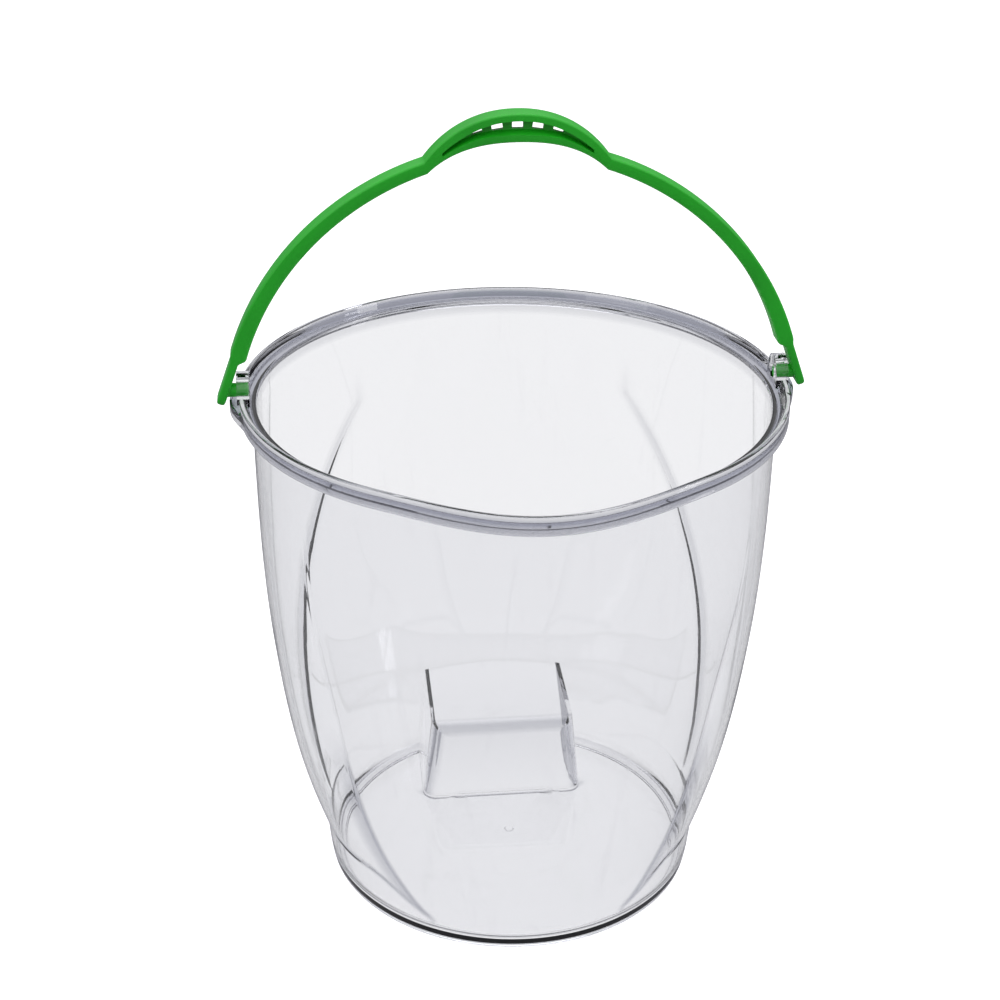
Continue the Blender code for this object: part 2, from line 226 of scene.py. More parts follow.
def makeGreenPlastic(wearGroup):
    material, add, link = newMaterial("greenPolypropylene")
    wear = add("ShaderNodeGroup", node_tree=wearGroup)
    wear.inputs["Flow Scale"].default_value = 30
    wear.inputs["Scratch Scale"].default_value = 120
    wear.inputs["Speck Scale"].default_value = 700
    cloudy = add("ShaderNodeMixRGB")
    cloudy.inputs["Color1"].default_value = greenLook["shade"]
    cloudy.inputs["Color2"].default_value = greenLook["colour"]
    spread = add("ShaderNodeMapRange")
    spread.inputs["From Min"].default_value = 0.25
    spread.inputs["From Max"].default_value = 0.55
    link(wear.outputs["Flow"], spread.inputs["Value"])
    link(spread.outputs["Result"], cloudy.inputs["Fac"])
    # convex edges, found by pointiness, are made a lighter, brighter green
    edge = add("ShaderNodeNewGeometry")
    edgeMask = add("ShaderNodeMapRange")
    edgeMask.inputs["From Min"].default_value = 0.52
    edgeMask.inputs["From Max"].default_value = 0.62
    edgeMask.inputs["To Max"].default_value = 0.55
    link(edge.outputs["Pointiness"], edgeMask.inputs["Value"])
    lighterEdge = add("ShaderNodeMixRGB")
    lighterEdge.inputs["Color2"].default_value = greenLook["lighterEdge"]
    link(edgeMask.outputs["Result"], lighterEdge.inputs["Fac"])
    link(cloudy.outputs["Color"], lighterEdge.inputs["Color1"])
    gloss = add("ShaderNodeMapRange")
    gloss.inputs["To Min"].default_value = greenLook["roughness"]
    gloss.inputs["To Max"].default_value = greenLook["rubbedRoughness"]
    link(wear.outputs["Scratches"], gloss.inputs["Value"])
    grain = add("ShaderNodeTexNoise", Scale=900.0, Detail=3.0)
    coords = add("ShaderNodeTexCoord")
    link(coords.outputs["Object"], grain.inputs["Vector"])
    bump = add("ShaderNodeBump", Strength=greenLook["grain"], Distance=0.0004)
    link(grain.outputs["Fac"], bump.inputs["Height"])
    shader = add("ShaderNodeBsdfPrincipled")
    shader.inputs["IOR"].default_value = 1.49
    link(lighterEdge.outputs["Color"], shader.inputs["Base Color"])
    link(gloss.outputs["Result"], shader.inputs["Roughness"])
    link(bump.outputs["Normal"], shader.inputs["Normal"])
    end = add("ShaderNodeOutputMaterial")
    link(shader.outputs["BSDF"], end.inputs["Surface"])
    return material


wearGroup = makeMouldWear()
clearPlastic = makeClearPlastic(wearGroup)
greenPlastic = makeGreenPlastic(wearGroup)
print("materials made")



bucketSizes = dict(
    baseRadius=0.0990, footRadius=0.1030, footHeight=0.0300, lipHeight=0.2744, lipRadius=0.1330,
    wall=0.0022, floorRise=0.0015, floorThickness=0.0024, floorCorner=0.0060, ringWidth=0.0031,
    shelf=0.0036, bow=0.0030, lobePower=3.0, baseRound=0.0016,
    collarRise=0.0047, collarTop=0.0024, overhang=0.0050, skirtDrop=0.0050, skirtWall=0.0022, rimRound=0.0007,
    spoutReach=0.0036, spoutDip=0.0035, spoutHalf=math.radians(34), spoutDepth=0.020,
    ledgeWidth=0.052, ledgeReach=0.0046,
    frontTip=(math.radians(29.5), 0.012), frontSpread=math.radians(27), frontRun=0.038, frontFade=(0.120, 0.230),
    backFoot=(math.radians(94), 0.032), backTop=(math.radians(144), 0.226), backPower=1.5, backStep=0.36,
    lobeStep=0.0012, creaseHalf=math.radians(0.9), discRadius=0.043, discRise=0.0008,
)
b = bucketSizes
wallTop = b["lipRadius"] - b["shelf"] + b["wall"]
rimRadius = b["lipRadius"] + b["overhang"]
rimTop = b["lipHeight"] + b["collarRise"]


def panelRadius(height):
    if height < b["footHeight"]:
        radius = b["baseRadius"] + (b["footRadius"] - b["baseRadius"]) * math.sqrt(max(height, 0) / b["footHeight"])
        return radius
    share = min((height - b["footHeight"]) / (b["lipHeight"] - b["footHeight"]), 1)
    return b["footRadius"] + (wallTop - b["footRadius"]) * share + b["bow"] * math.sin(math.pi * share)


def lobeBulge(height):
    # how far the side lobes stand out from the front and back panels
    if height <= b["footHeight"]:
        return 0
    share = min((height - b["footHeight"]) / (b["lipHeight"] - b["footHeight"]), 1)
    lobe = wallTop - (wallTop - b["footRadius"]) * (1 - share) ** b["lobePower"]
    return max(lobe - panelRadius(height), 0)


def frontCrease(height):
    angle, start = b["frontTip"]
    return angle + b["frontSpread"] * (1 - math.exp(-max(height - start, 0) / b["frontRun"]))


def backCrease(height):
    (footAngle, footAt), (topAngle, topAt) = b["backFoot"], b["backTop"]
    share = min(max((height - footAt) / (topAt - footAt), 0), 1)
    return footAngle + (topAngle - footAngle) * share ** b["backPower"]


def lobeShare(turn, height):
    side = math.radians(78)
    if turn < side:
        crease = frontCrease(height)
        crisp = math.sin(math.pi / 2 * min(max((turn - crease) / (side - crease), 0), 1)) ** 0.8
        soft = ease(turn, math.radians(28), math.radians(72))
        return crisp + (soft - crisp) * ease(height, *b["frontFade"])
    crease = backCrease(height)
    step = b["backStep"]
    before = 0.16 * ease(turn, math.radians(88), crease)
    drop = step * ease(turn, crease - b["creaseHalf"], crease + b["creaseHalf"])
    after = (1 - 0.16 - step) * ease(turn, crease, min(crease + math.radians(42), math.pi))
    return max(1 - before - drop - after, 0)


def lobeFoot(turn):
    # height of the side lobes' lower edge, which falls to a tip at the front
    tipAngle, tipHeight = b["frontTip"]
    return tipHeight + (b["footHeight"] - tipHeight) * ease(turn, tipAngle - 0.1, math.radians(52))


def bodyRadius(turn, height):
    junction = lobeFoot(turn)
    lift = (b["footHeight"] - junction) * (1 - ease(height, b["footHeight"], 0.070))
    bulge = lobeBulge(height + lift) * lobeShare(turn, height)
    # the lobes stand out from the foot by a small step
    step = b["lobeStep"] * lobeShare(turn, height) * ease(height, junction - 0.0008, junction + 0.0008)
    return panelRadius(height) + bulge + step * (1 - ease(height, 0.060, 0.140))


def spoutShare(turn, height):
    # 1 at the middle of the pouring lip, and 0 away from it
    across = 0.5 + 0.5 * math.cos(math.pi * min(turn / b["spoutHalf"], 1))
    return across * ease(height, b["lipHeight"] - b["spoutDepth"], b["lipHeight"])


def wallPoint(turn, height, inset):
    share = spoutShare(turn, height)
    return bodyRadius(turn, height) + b["spoutReach"] * share - inset, height - b["spoutDip"] * share


def ledgePush(turn):
    away = abs(turn - math.pi / 2) * rimRadius
    if away > b["ledgeWidth"] / 2:
        return 0
    return b["ledgeReach"] * (0.5 + 0.5 * math.cos(2 * math.pi * away / b["ledgeWidth"])) ** 0.6


def columnTurns(height):
    # columns crowd together at the two creases, so that those stay crisp
    front, back, half = frontCrease(height), backCrease(height), b["creaseHalf"]
    stops = [(0, 0), (front - half, 34), (front + half, 5), (back - half * 1.3, 44), (back + half * 1.3, 7), (math.pi, 26)]
    turns = [0.0]
    for (before, _), (after, count) in zip(stops, stops[1:]):
        turns += [before + (after - before) * (i + 1) / count for i in range(count)]
    return turns


def ring(height, radiusAt):
    turns = columnTurns(min(max(height, 0), b["lipHeight"]))
    points = []
    for turn in turns + [-t for t in reversed(turns[1:-1])]:
        radius, z = radiusAt(abs(turn))
        points.append(Vector((radius * math.sin(turn), axisY - radius * math.cos(turn), z)))
    return points


def wallRing(height, inset):
    return ring(height, lambda turn: wallPoint(turn, height, inset))


def rimRing(radius, height, reach):
    def point(turn):
        share = spoutShare(turn, b["lipHeight"])
        return radius + b["spoutReach"] * share + reach * ledgePush(turn), height - b["spoutDip"] * share
    return ring(b["lipHeight"], point)


def flatRing(radius, height):
    return ring(0, lambda turn: (radius, height))


def spaced(low, high, count):
    return [low + (high - low) * i / count for i in range(count + 1)]


def outerWallRings(topHeight):
    heights = [0.0016 + 0.0084 * i / 8 for i in range(9)]
    heights += spaced(0.0112, 0.0340, 19) + spaced(0.0362, topHeight, 108)
    return [wallRing(h, 0) for h in heights if h <= topHeight]


def footRings():
    rings = []
    for i in range(4):
        turn = math.pi / 2 * i / 4
        inset = b["baseRound"] * (1 - math.sin(turn))
        rings.append(ring(0, lambda t: (bodyRadius(t, b["baseRound"]) - inset, b["baseRound"] * (1 - math.cos(turn)))))
    return rings


def filletRings(points, reach):
    # rounds each inner point of a rim outline (radius, height) by its own amount
    rings = []
    for index, (radius, height, rounding) in enumerate(points):
        here = Vector((radius, height))
        if rounding == 0:
            rings.append(rimRing(radius, height, reach[index]))
            continue
        before = (Vector(points[index - 1][:2]) - here).normalized() * rounding
        after = (Vector(points[index + 1][:2]) - here).normalized() * rounding
        for share in (0.0, 0.33, 0.67, 1.0):
            p = here + before * (1 - share) ** 2 + after * share ** 2
            rings.append(rimRing(p.x, p.y, reach[index]))
    return rings


def makeBucket():
    underLip = b["lipHeight"] - b["wall"]
    skirtInside = rimRadius - b["skirtWall"]
    skirtBottom = b["lipHeight"] - b["skirtDrop"]
    ringInner = b["baseRadius"] - b["ringWidth"]
    floorTop = b["floorRise"] + b["floorThickness"]
    disc = b["discRadius"]

    under = b["floorRise"]
    rings = [flatRing(r, z) for r, z in (
        (0.0012, under - 0.0007), (0.0022, under - 0.0006), (0.0026, under), (disc - 0.002, under),
        (disc, under - 0.0004), (0.065, under - 0.0004), (ringInner - 0.0030, under - 0.0004),
        (ringInner - 0.0010, under - 0.0006), (ringInner, 0.0003), (ringInner + 0.0004, 0.0),
    )]
    rings += footRings() + outerWallRings(underLip - 0.0012)
    r = b["rimRound"]
    wallOut = wallTop + b["rimRound"] * 0.3
    rings += [rimRing(wallOut, underLip - 0.0004, 0), rimRing(wallOut + 0.0008, underLip, 0)]
    rings += filletRings([
        (skirtInside, underLip, 0), (skirtInside, skirtBottom + 0.0004, 0),
        (skirtInside + 0.0002, skirtBottom, 0), (rimRadius, skirtBottom, r),
        (rimRadius, b["lipHeight"] + 0.0002, 0)], [1, 1, 1, 1, 1])
    rings += [rimRing(rimRadius, b["lipHeight"] + 0.0009, 0.96), rimRing(rimRadius, b["lipHeight"] + 0.0014, 0.80),
              rimRing(rimRadius, b["lipHeight"] + 0.0017, 0.0)]
    rings += filletRings([
        (rimRadius, rimTop - 0.0012, 0), (rimRadius, rimTop, 0.0009), (rimRadius - b["collarTop"], rimTop, r),
        (b["lipRadius"] + 0.0003, b["lipHeight"] + 0.0003, r), (b["lipRadius"] - b["shelf"], b["lipHeight"], 0.0012),
        (b["lipRadius"] - b["shelf"] - 0.0001, b["lipHeight"] - 0.0016, 0)], [0, 0, 0, 0, 0, 0])
    rings += [wallRing(h, b["wall"]) for h in reversed(spaced(floorTop + b["floorCorner"], b["lipHeight"] - 0.0022, 118))]
    for i in range(1, 5):
        turn = math.pi / 2 * (1 - i / 4)
        inset = b["wall"] + b["floorCorner"] * (1 - math.sin(turn))
        height = floorTop + b["floorCorner"] * (1 - math.cos(turn))
        rings.append(wallRing(height, inset))
    rise = b["discRise"]
    rings += [flatRing(r, z) for r, z in (
        (0.084, floorTop), (0.066, floorTop), (disc + 0.0030, floorTop), (disc + 0.0020, floorTop + rise * 0.15),
        (disc + 0.0008, floorTop + rise * 0.6), (disc - 0.0006, floorTop + rise * 0.92), (disc - 0.002, floorTop + rise),
        (0.020, floorTop + rise * 1.3), (0.004, floorTop + rise * 1.4))]
    bucket = meshFromRings("clear_bucket", rings)
    print("bucket skin", len(bucket.data.polygons), "faces")
    return bucket


pocketSizes = dict(width=0.082, height=0.052, face=0.034, rounding=0.008, flare=0.006, margin=0.004, edge=0.0008)


def pocketBlock(name, grow, radius):
    # the pocket's hollow, or with grow the same block a wall larger
    p = pocketSizes
    half = p["width"] / 2 - b["wall"] + grow
    top = p["height"] - b["wall"] + grow
    face = axisY + p["face"] + b["wall"] - grow
    bm = bmesh.new()
    bmesh.ops.create_cube(bm, size=2)
    for vert in bm.verts:
        isLow = vert.co.z < 0
        vert.co.x *= half + (p["flare"] if isLow else 0)
        vert.co.y = face if vert.co.y < 0 else b["lipRadius"]
        vert.co.z = -p["margin"] - grow if isLow else top
    rounded = []
    for edge in bm.edges:
        first, second = (v.co for v in edge.verts)
        inner = max(first.y, second.y) <= face
        alongY = first.z == second.z == top and first.x == second.x
        if (inner or alongY) and max(first.z, second.z) > 0:
            rounded.append(edge)
    bmesh.ops.bevel(bm, geom=rounded, offset=radius, segments=12, profile=0.5, affect="EDGES")
    mesh = bpy.data.meshes.new(name)
    bm.to_mesh(mesh)
    bm.free()
    block = bpy.data.objects.new(name, mesh)
    bpy.context.scene.collection.objects.link(block)
    return block


def addPocket(bucket):
    liner = pocketBlock("liner", b["wall"], pocketSizes["rounding"])
    hull = meshFromRings("hull", [flatRing(b["baseRadius"] - 0.001, 0.0)] + footRings()[1:] + [
        wallRing(h, 0.00002) for h in spaced(0.0016, 0.060, 40)])
    combine(liner, hull, "INTERSECT")
    combine(bucket, liner, "UNION")
    hollow = pocketBlock("hollow", 0, pocketSizes["rounding"] - b["wall"] * 0.5)
    combine(bucket, hollow, "DIFFERENCE")
    print("pocket cut", len(bucket.data.polygons), "faces")


earSizes = dict(inset=0.0007, thickness=0.0062, width=0.0190, abovePin=0.0092, root=0.0015, bore=0.0039, edge=0.0011)


def makeEar(side):
    e = earSizes
    inner = b["lipRadius"] - e["inset"]
    radius = e["width"] / 2
    centre = pivot.z + e["abovePin"] - radius
    outline = [(-radius, b["lipHeight"] - e["root"]), (radius, b["lipHeight"] - e["root"])]
    outline += [(radius * math.cos(math.pi * i / 32), centre + radius * math.sin(math.pi * i / 32)) for i in range(33)]
    rings = [[Vector((side * x, axisY + y, z)) for y, z in outline] for x in (inner, inner + e["thickness"])]
    ear = meshFromRings("ear", rings)
    rounding = ear.modifiers.new("edge", "BEVEL")
    rounding.width = e["edge"]
    rounding.segments = 4
    rounding.angle_limit = math.radians(50)
    return applyModifiers(ear)


def roundBar(radius, start, end, sides=48):
    rings = []
    for x in (start, end):
        rings.append([Vector((x, pivot.y + radius * math.cos(2 * math.pi * i / sides),
                              pivot.z + radius * math.sin(2 * math.pi * i / sides))) for i in range(sides)])
    return meshFromRings("bar", rings)


def addEars(bucket):
    inner = b["lipRadius"] - earSizes["inset"]
    for side in (-1, 1):
        combine(bucket, makeEar(side), "UNION")
        hole = roundBar(earSizes["bore"], side * (inner - 0.0035), side * (inner + earSizes["thickness"] + 0.004))
        combine(bucket, hole, "DIFFERENCE")


# widths and strengths of the bands of painted shade on the clear wall
paintedShadeBands = dict(
    sideWidth=0.0016, sideShare=0.60, tipWidth=0.0016, tipShare=0.55, sliverWidth=0.014, sliverShare=0.34,
    backWidth=0.0026, backShare=0.22,
    rimShare=0.92, rimWidth=0.0026, skirtShare=0.20, pocketShare=0.42, earShare=0.15, baseShare=0.30,
)


def band(distance, width):
    return math.exp(-(distance / width) ** 2)


def paintedEdgeShade(point):
    # painted shade: 1 where the clear wall is painted darkest, 0 on its plain faces
    e = paintedShadeBands
    x, y, z = point.x, point.y - axisY, point.z
    radius = math.hypot(x, y)
    turn = abs(math.atan2(x, -y))
    depth = 0.0
    # steps where the side lobes meet the front panel
    if z < b["lipHeight"] - b["skirtDrop"]:
        fromFront = (turn - frontCrease(z)) * radius
        along = ease(z, b["frontTip"][1] - 0.004, b["frontTip"][1] + 0.004) * (1 - ease(z, 0.070, 0.125))
        depth = max(depth, e["sideShare"] * along * band(fromFront, e["sideWidth"]))
        # the sliver of the lobe that turns under between its front and its lower edge
        if fromFront > 0 and turn < math.pi / 2 and z > lobeFoot(turn):
            depth = max(depth, e["sliverShare"] * along * (1 - ease(fromFront, 0.002, e["sliverWidth"])))
        fromBack = (turn - backCrease(z)) * radius
        high = ease(z, 0.030, 0.050) * (1 - ease(z, 0.200, 0.250))
        depth = max(depth, e["backShare"] * high * band(fromBack, e["backWidth"]))
    # the lobes' lower edge, which runs from the foot's side down to the tip in front
    if turn < math.pi / 2 and z < 0.05:
        edge = lobeFoot(turn)
        shown = ease(turn, b["frontTip"][0] - 0.03, b["frontTip"][0] + 0.05)
        depth = max(depth, e["tipShare"] * shown * band(z - edge, e["tipWidth"]))
    # the rim's collar and skirt
    share = spoutShare(turn, b["lipHeight"])
    rimZ, rimOut = z + b["spoutDip"] * share, radius - b["spoutReach"] * share
    if rimZ > b["lipHeight"] - 0.0075 and rimZ < rimTop + 0.001:
        depth = max(depth, e["rimShare"] * band(rimZ - (b["lipHeight"] + 0.001), e["rimWidth"]), e["skirtShare"])
    elif rimZ >= rimTop + 0.001:
        depth = e["earShare"]
    # the base's rounded edge
    if z < 0.004 and radius > b["baseRadius"] - 0.004:
        depth = max(depth, e["baseShare"])
    # the finger pocket's rounded front edge and legs
    p = pocketSizes
    if y > 0 and z < p["height"] + 0.001 and abs(x) < p["width"] / 2 + p["flare"] and radius < b["baseRadius"] + 0.02:
        front = p["face"] - y
        if abs(front) < 0.010:
            roof = band(z - (p["height"] - 0.003), 0.0045) * (1 - ease(abs(front), 0.004, 0.010))
            legAt = p["width"] / 2 - 0.002 + p["flare"] * (1 - z / p["height"])
            leg = band(abs(x) - legAt, 0.0030) * (1 - ease(abs(front), 0.004, 0.010))
            depth = max(depth, e["pocketShare"] * max(roof, leg))
    return depth


# stores the painted shade per vertex for the clear material to read
def paintEdgeShade(piece):
    layer = piece.data.attributes.new("paintedEdgeShade", "FLOAT", "POINT")
    layer.data.foreach_set("value", [paintedEdgeShade(vert.co) for vert in piece.data.vertices])


bucket = makeBucket()
addPocket(bucket)
addEars(bucket)
paintEdgeShade(bucket)
smooth(bucket, 32)
bucket.data.materials.clear()
bucket.data.materials.append(clearPlastic)
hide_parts("bucket")
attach(bucket, "bucket")
print("bucket done")



handleSizes = dict(
    pinRadius=0.0035, pinReach=0.0052, tabGap=0.0040, tabThickness=0.0042, tabBelowPin=0.0062,
    tabLean=math.radians(20), tabLength=0.0270, tabStep=0.0040, tabEndShare=0.62,
    thickness=0.0060, thickening=0.0022, depth=0.0120, rounding=0.0012, archHeight=0.1190,
    gripHalf=0.0440, gripTopRise=0.0154, gripBottomRise=0.0076, topFlange=0.0035, bottomFlange=0.0019,
    web=0.0024, slope=0.0035, slopeShare=0.55, hollowShare=0.82,
    windowCount=5, windowPitch=0.0098, windowLength=0.0054, windowEdge=0.0004,
)
h = handleSizes
earOuter = b["lipRadius"] - earSizes["inset"] + earSizes["thickness"]
tabAlong = Vector((math.sin(h["tabLean"]), 0, -math.cos(h["tabLean"])))
tabLow = Vector((earOuter + h["tabGap"] + h["tabThickness"] / 2 / math.cos(h["tabLean"]), 0, 0))
tabLow += tabAlong * (h["tabBelowPin"] / math.cos(h["tabLean"]))
tabTop = tabLow - tabAlong * h["tabLength"]
archRise = h["archHeight"] - tabTop.z
archRadius = (archRise ** 2 + tabTop.x ** 2) / (2 * archRise)
archCentre = h["archHeight"] - archRadius


def gripRises(x):
    share = min(abs(x) / h["gripHalf"], 1)
    return h["gripBottomRise"] * (1 - share ** 3.0), h["gripTopRise"] * (1 - share ** 2.2)


def roundedSection(depth, low, high, rounding, steps=4):
    half = depth / 2
    corners = [(half, low, 0), (half, high, 90), (-half, high, 180), (-half, low, 270)]
    points = []
    for y, t, start in corners:
        cy = y - math.copysign(rounding, y)
        ct = t + rounding if t == low else t - rounding
        for i in range(steps + 1):
            angle = math.radians(start - 90 + 90 * i / steps)
            points.append((cy + rounding * math.cos(angle), ct + rounding * math.sin(angle)))
    return points


def archPoint(angle):
    out = Vector((math.sin(angle), 0, math.cos(angle)))
    return out * archRadius + Vector((0, 0, archCentre)), out


def sectionRing(point, out, section):
    return [pivot + point + out * t + Vector((0, y, 0)) for y, t in section]


def makeStrap():
    half, rounding = h["thickness"] / 2, h["rounding"]
    sweep = math.atan2(tabTop.x, tabTop.z - archCentre)
    gripSweep = math.asin(h["gripHalf"] / archRadius)
    angles = spaced(0, gripSweep, 48) + spaced(gripSweep, sweep, 52)[1:]
    stations = []
    for angle in angles:
        point, out = archPoint(angle)
        bottom, top = gripRises(archRadius * math.sin(angle))
        inner = bottom - half - h["thickening"] * max(0, angle - gripSweep) / (sweep - gripSweep)
        stations.append((point, out, roundedSection(h["depth"], inner, top + half, rounding)))
    out = Vector((math.cos(h["tabLean"]), 0, math.sin(h["tabLean"])))
    outer = h["tabThickness"] / 2
    for share in (0.25, 0.5, 0.75, 1.0):
        thick = -outer - (half + h["thickening"] - outer) * (1 - ease(share, 0, 1))
        here = tabTop + tabAlong * h["tabStep"] * share
        high = half + (outer - half) * ease(share, 0, 1)
        stations.append((here, out, roundedSection(h["depth"], thick, high, rounding)))
    for back, share, pinch in ((0.0040, 1.0, 0), (0.0022, 0.95, 0), (0.0010, 0.85, 0.0001), (0.0003, 0.73, 0.0004), (0, 0.62, 0.0008)):
        here = tabLow - tabAlong * back
        section = roundedSection(h["depth"] * share, pinch - outer, outer - pinch, rounding)
        stations.append((here, out, section))
    mirror = Vector((-1, 1, 1))
    rings = [sectionRing(p, o, s) for p, o, s in stations]
    left = [sectionRing(p * mirror, o * mirror, s) for p, o, s in reversed(stations[1:])]
    return meshFromRings("green_handle", left + rings)


def gripGap(x):
    # heights above the pins between the flanges: at the open side, at the web and at the top
    bottom, top = gripRises(x)
    arch = archCentre + math.sqrt(archRadius ** 2 - x ** 2)
    low = arch + bottom - h["thickness"] / 2 + h["bottomFlange"]
    high = arch + top + h["thickness"] / 2 - h["topFlange"]
    return low, low + min(h["slope"], h["slopeShare"] * (high - low)), high


def makeGripHollow(side):
    # the recess on one side of the grip's web, whose lower face slopes up to the web
    rings = []
    reach = h["gripHalf"] * h["hollowShare"]
    near, far = side * h["web"] / 2, side * h["depth"]
    for x in spaced(-reach, reach, 60):
        low, webLow, high = gripGap(x)
        corners = ((near, webLow), (far, low), (far, high), (near, high))
        rings.append([pivot + Vector((x, y, z)) for y, z in corners])
    hollow = meshFromRings("hollow", rings)
    rounding = hollow.modifiers.new("corner", "BEVEL")
    rounding.width = 0.0006
    rounding.segments = 3
    rounding.angle_limit = math.radians(50)
    return applyModifiers(hollow)


def windowTree():
    tree = bpy.data.node_groups.new("gripWindows", "GeometryNodeTree")
    face = tree.interface
    face.new_socket("Geometry", in_out="INPUT", socket_type="NodeSocketGeometry")
    sizes = (("Count", "NodeSocketInt"), ("Pitch", "NodeSocketFloat"), ("Length", "NodeSocketFloat"),
             ("Depth", "NodeSocketFloat"), ("Height", "NodeSocketFloat"), ("Crown", "NodeSocketFloat"),
             ("Drop", "NodeSocketFloat"), ("Narrowing", "NodeSocketFloat"), ("Axis Y", "NodeSocketFloat"))
    for name, kind in sizes:
        face.new_socket(name, in_out="INPUT", socket_type=kind)
    face.new_socket("Finish", in_out="INPUT", socket_type="NodeSocketMaterial")
    face.new_socket("Geometry", in_out="OUTPUT", socket_type="NodeSocketGeometry")
    add = nodeAdder(tree)
    link = tree.links.new
    start, end = add("NodeGroupInput"), add("NodeGroupOutput")

    def maths(operation, first, second):
        node = add("ShaderNodeMath", operation=operation)
        for index, value in enumerate((first, second)):
            if isinstance(value, (int, float)):
                node.inputs[index].default_value = value
            else:
                link(value, node.inputs[index])
        return node.outputs[0]

    index = add("GeometryNodeInputIndex").outputs[0]
    middle = maths("DIVIDE", maths("SUBTRACT", start.outputs["Count"], 1), 2)
    x = maths("MULTIPLY", maths("SUBTRACT", index, middle), start.outputs["Pitch"])
    squared = maths("MULTIPLY", x, x)
    line = add("GeometryNodeMeshLine")
    link(start.outputs["Count"], line.inputs["Count"])
    place = add("ShaderNodeCombineXYZ")
    link(x, place.inputs["X"])
    link(start.outputs["Axis Y"], place.inputs["Y"])
    link(maths("SUBTRACT", start.outputs["Crown"], maths("MULTIPLY", squared, start.outputs["Drop"])), place.inputs["Z"])
    move = add("GeometryNodeSetPosition")
    link(line.outputs["Mesh"], move.inputs["Geometry"])
    link(place.outputs["Vector"], move.inputs["Position"])
    cube = add("GeometryNodeMeshCube")
    cube.inputs["Size"].default_value = (1, 1, 1)
    scale = add("ShaderNodeCombineXYZ")
    link(start.outputs["Length"], scale.inputs["X"])
    link(start.outputs["Depth"], scale.inputs["Y"])
    link(maths("SUBTRACT", start.outputs["Height"], maths("MULTIPLY", squared, start.outputs["Narrowing"])), scale.inputs["Z"])
    tilt = add("ShaderNodeCombineXYZ")
    link(maths("MULTIPLY", x, maths("MULTIPLY", start.outputs["Drop"], 2)), tilt.inputs["Y"])
    copies = add("GeometryNodeInstanceOnPoints")
    link(move.outputs["Geometry"], copies.inputs["Points"])
    link(cube.outputs["Mesh"], copies.inputs["Instance"])
    link(scale.outputs["Vector"], copies.inputs["Scale"])
    link(tilt.outputs["Vector"], copies.inputs["Rotation"])
    real = add("GeometryNodeRealizeInstances")
    link(copies.outputs["Instances"], real.inputs["Geometry"])
    paint = add("GeometryNodeSetMaterial")
    link(real.outputs["Geometry"], paint.inputs["Geometry"])
    link(start.outputs["Finish"], paint.inputs["Material"])
    link(paint.outputs["Geometry"], end.inputs["Geometry"])
    return tree


def makeWindows():
    edge = (h["windowCount"] - 1) / 2 * h["windowPitch"]

    def gap(x):
        _, low, high = gripGap(x)
        return low + h["windowEdge"], high - h["windowEdge"]

    low, high = gap(0)
    edgeLow, edgeHigh = gap(edge)
    holder = bpy.data.objects.new("windows", bpy.data.meshes.new("windows"))
    bpy.context.scene.collection.objects.link(holder)
    modifier = holder.modifiers.new("windows", "NODES")
    modifier.node_group = windowTree()
    values = {
        "Count": h["windowCount"], "Pitch": h["windowPitch"], "Length": h["windowLength"], "Depth": h["depth"] / 2,
        "Height": high - low, "Crown": pivot.z + (low + high) / 2, "Axis Y": pivot.y,
        "Drop": ((low + high) - (edgeLow + edgeHigh)) / 2 / edge ** 2,
        "Narrowing": ((high - low) - (edgeHigh - edgeLow)) / edge ** 2, "Finish": greenPlastic,
    }
    for item in modifier.node_group.interface.items_tree:
        if item.in_out == "INPUT" and item.name in values:
            modifier[item.identifier] = values[item.name]
    return applyModifiers(holder)


def makeHandle():
    handle = makeStrap()
    for side in (-1, 1):
        pin = roundBar(h["pinRadius"], side * (earOuter - h["pinReach"]), side * (earOuter + h["tabGap"] + h["tabThickness"] / 2))
        combine(handle, pin, "UNION")
        combine(handle, makeGripHollow(side), "DIFFERENCE")
    combine(handle, makeWindows(), "DIFFERENCE")
    return handle


handle = makeHandle()
smooth(handle, 35)
handle.data.materials.clear()
handle.data.materials.append(greenPlastic)
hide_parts("carry_handle")
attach(handle, "handle")
print("handle done", len(handle.data.polygons), "faces")



def makeFloor():
    bm = bmesh.new()
    bmesh.ops.create_grid(bm, x_segments=8, y_segments=8, size=6)
    mesh = bpy.data.meshes.new("paleFloor")
    bm.to_mesh(mesh)
    bm.free()
    floor = bpy.data.objects.new("paleFloor", mesh)
    bpy.context.scene.collection.objects.link(floor)
    material, add, link = newMaterial("paleSweep")
    shader = add("ShaderNodeBsdfPrincipled", Roughness=0.9)
    shader.inputs["Base Color"].default_value = (0.96, 0.96, 0.965, 1)
    shader.inputs["Specular IOR Level"].default_value = 0.0
    shader.inputs["Emission Color"].default_value = (1, 1, 1, 1)
    shader.inputs["Emission Strength"].default_value = 0.36
    # the plastic sees a softer floor, and a dim one in its reflections, which draws the clear edges
    path = add("ShaderNodeLightPath")
    seen = add("ShaderNodeMixRGB")
    seen.inputs["Color1"].default_value = (0.95, 0.95, 0.955, 1)
    seen.inputs["Color2"].default_value = (0.30, 0.30, 0.33, 1)
    link(path.outputs["Is Reflection Ray"], seen.inputs["Fac"])
    dim = add("ShaderNodeEmission", Strength=1.0)
    link(seen.outputs["Color"], dim.inputs["Color"])
    mix = add("ShaderNodeMixShader")
    link(path.outputs["Is Camera Ray"], mix.inputs["Fac"])
    link(dim.outputs["Emission"], mix.inputs[1])
    link(shader.outputs["BSDF"], mix.inputs[2])
    end = add("ShaderNodeOutputMaterial")
    link(mix.outputs["Shader"], end.inputs["Surface"])
    mesh.materials.append(material)


def areaLight(name, place, aim, size, power):
    data = bpy.data.lights.new(name, "AREA")
    data.shape = "RECTANGLE"
    data.size, data.size_y = size
    data.energy = power
    lamp = bpy.data.objects.new(name, data)
    bpy.context.scene.collection.objects.link(lamp)
    lamp.location = place
    lamp.rotation_euler = (Vector(aim) - Vector(place)).to_track_quat("-Z", "Y").to_euler()
    return lamp


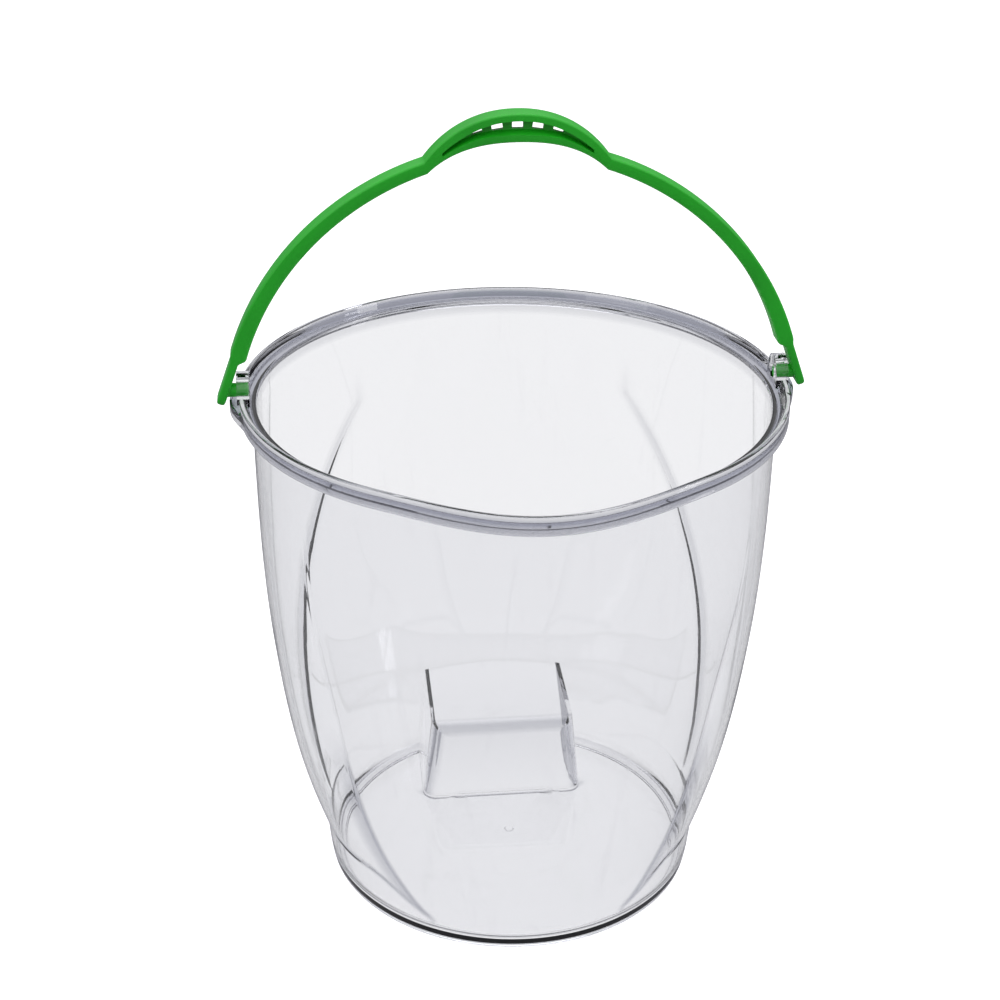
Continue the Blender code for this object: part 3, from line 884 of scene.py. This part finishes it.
def makeLights():
    areaLight("overheadSoftbox", (0, 0.2, 2.2), (0, 0, 0.1), (1.4, 1.4), 9)
    areaLight("leftWindow", (-1.6, -0.9, 1.2), (0, 0, 0.2), (0.9, 1.4), 4.5)
    areaLight("rightStrip", (1.5, -0.5, 0.9), (0, 0, 0.15), (0.25, 1.2), 4)
    world = bpy.data.worlds.new("softRoom")
    bpy.context.scene.world = world
    world.use_nodes = True
    tree = world.node_tree
    tree.nodes.clear()
    add = nodeAdder(tree)
    link = tree.links.new
    coords = add("ShaderNodeTexCoord")
    split = add("ShaderNodeSeparateXYZ")
    link(coords.outputs["Generated"], split.inputs["Vector"])
    ramp = add("ShaderNodeValToRGB")
    ramp.color_ramp.elements[0].position = 0.05
    ramp.color_ramp.elements[0].color = (0.10, 0.10, 0.115, 1)
    ramp.color_ramp.elements[1].position = 0.55
    ramp.color_ramp.elements[1].color = (0.95, 0.95, 0.97, 1)
    link(split.outputs["Z"], ramp.inputs["Fac"])
    # the plastic sees a room that darkens towards the horizon, and plain sight sees a pale one
    seen = add("ShaderNodeLightPath")
    plain = add("ShaderNodeMixRGB")
    plain.inputs["Color2"].default_value = (1.0, 1.0, 1.0, 1)
    link(seen.outputs["Is Camera Ray"], plain.inputs["Fac"])
    link(ramp.outputs["Color"], plain.inputs["Color1"])
    back = add("ShaderNodeBackground", Strength=1.0)
    link(plain.outputs["Color"], back.inputs["Color"])
    end = add("ShaderNodeOutputWorld")
    link(back.outputs["Background"], end.inputs["Surface"])


viewFrom = dict(aim=(-0.0067, 0.0025, 0.2126), distance=0.9669, turn=math.radians(6.3), tilt=math.radians(26.92),
                roll=0.0085, lens=66.96)


def makeCamera():
    v = viewFrom
    forward = Vector((math.sin(v["turn"]) * math.cos(v["tilt"]), math.cos(v["turn"]) * math.cos(v["tilt"]), -math.sin(v["tilt"])))
    right = Vector((math.cos(v["turn"]), -math.sin(v["turn"]), 0))
    up = right.cross(forward)
    rolledRight = right * math.cos(v["roll"]) + up * math.sin(v["roll"])
    rolledUp = up * math.cos(v["roll"]) - right * math.sin(v["roll"])
    data = bpy.data.cameras.new("mainCamera")
    data.lens = v["lens"]
    data.sensor_width = 36
    camera = bpy.data.objects.new("mainCamera", data)
    bpy.context.scene.collection.objects.link(camera)
    turn = Matrix((rolledRight, rolledUp, -forward)).transposed().to_4x4()
    camera.matrix_world = Matrix.Translation(Vector(v["aim"]) - forward * v["distance"]) @ turn
    bpy.context.scene.camera = camera


makeFloor()
makeLights()
makeCamera()
bpy.context.scene.view_settings.view_transform = "Standard"
print("stage done")
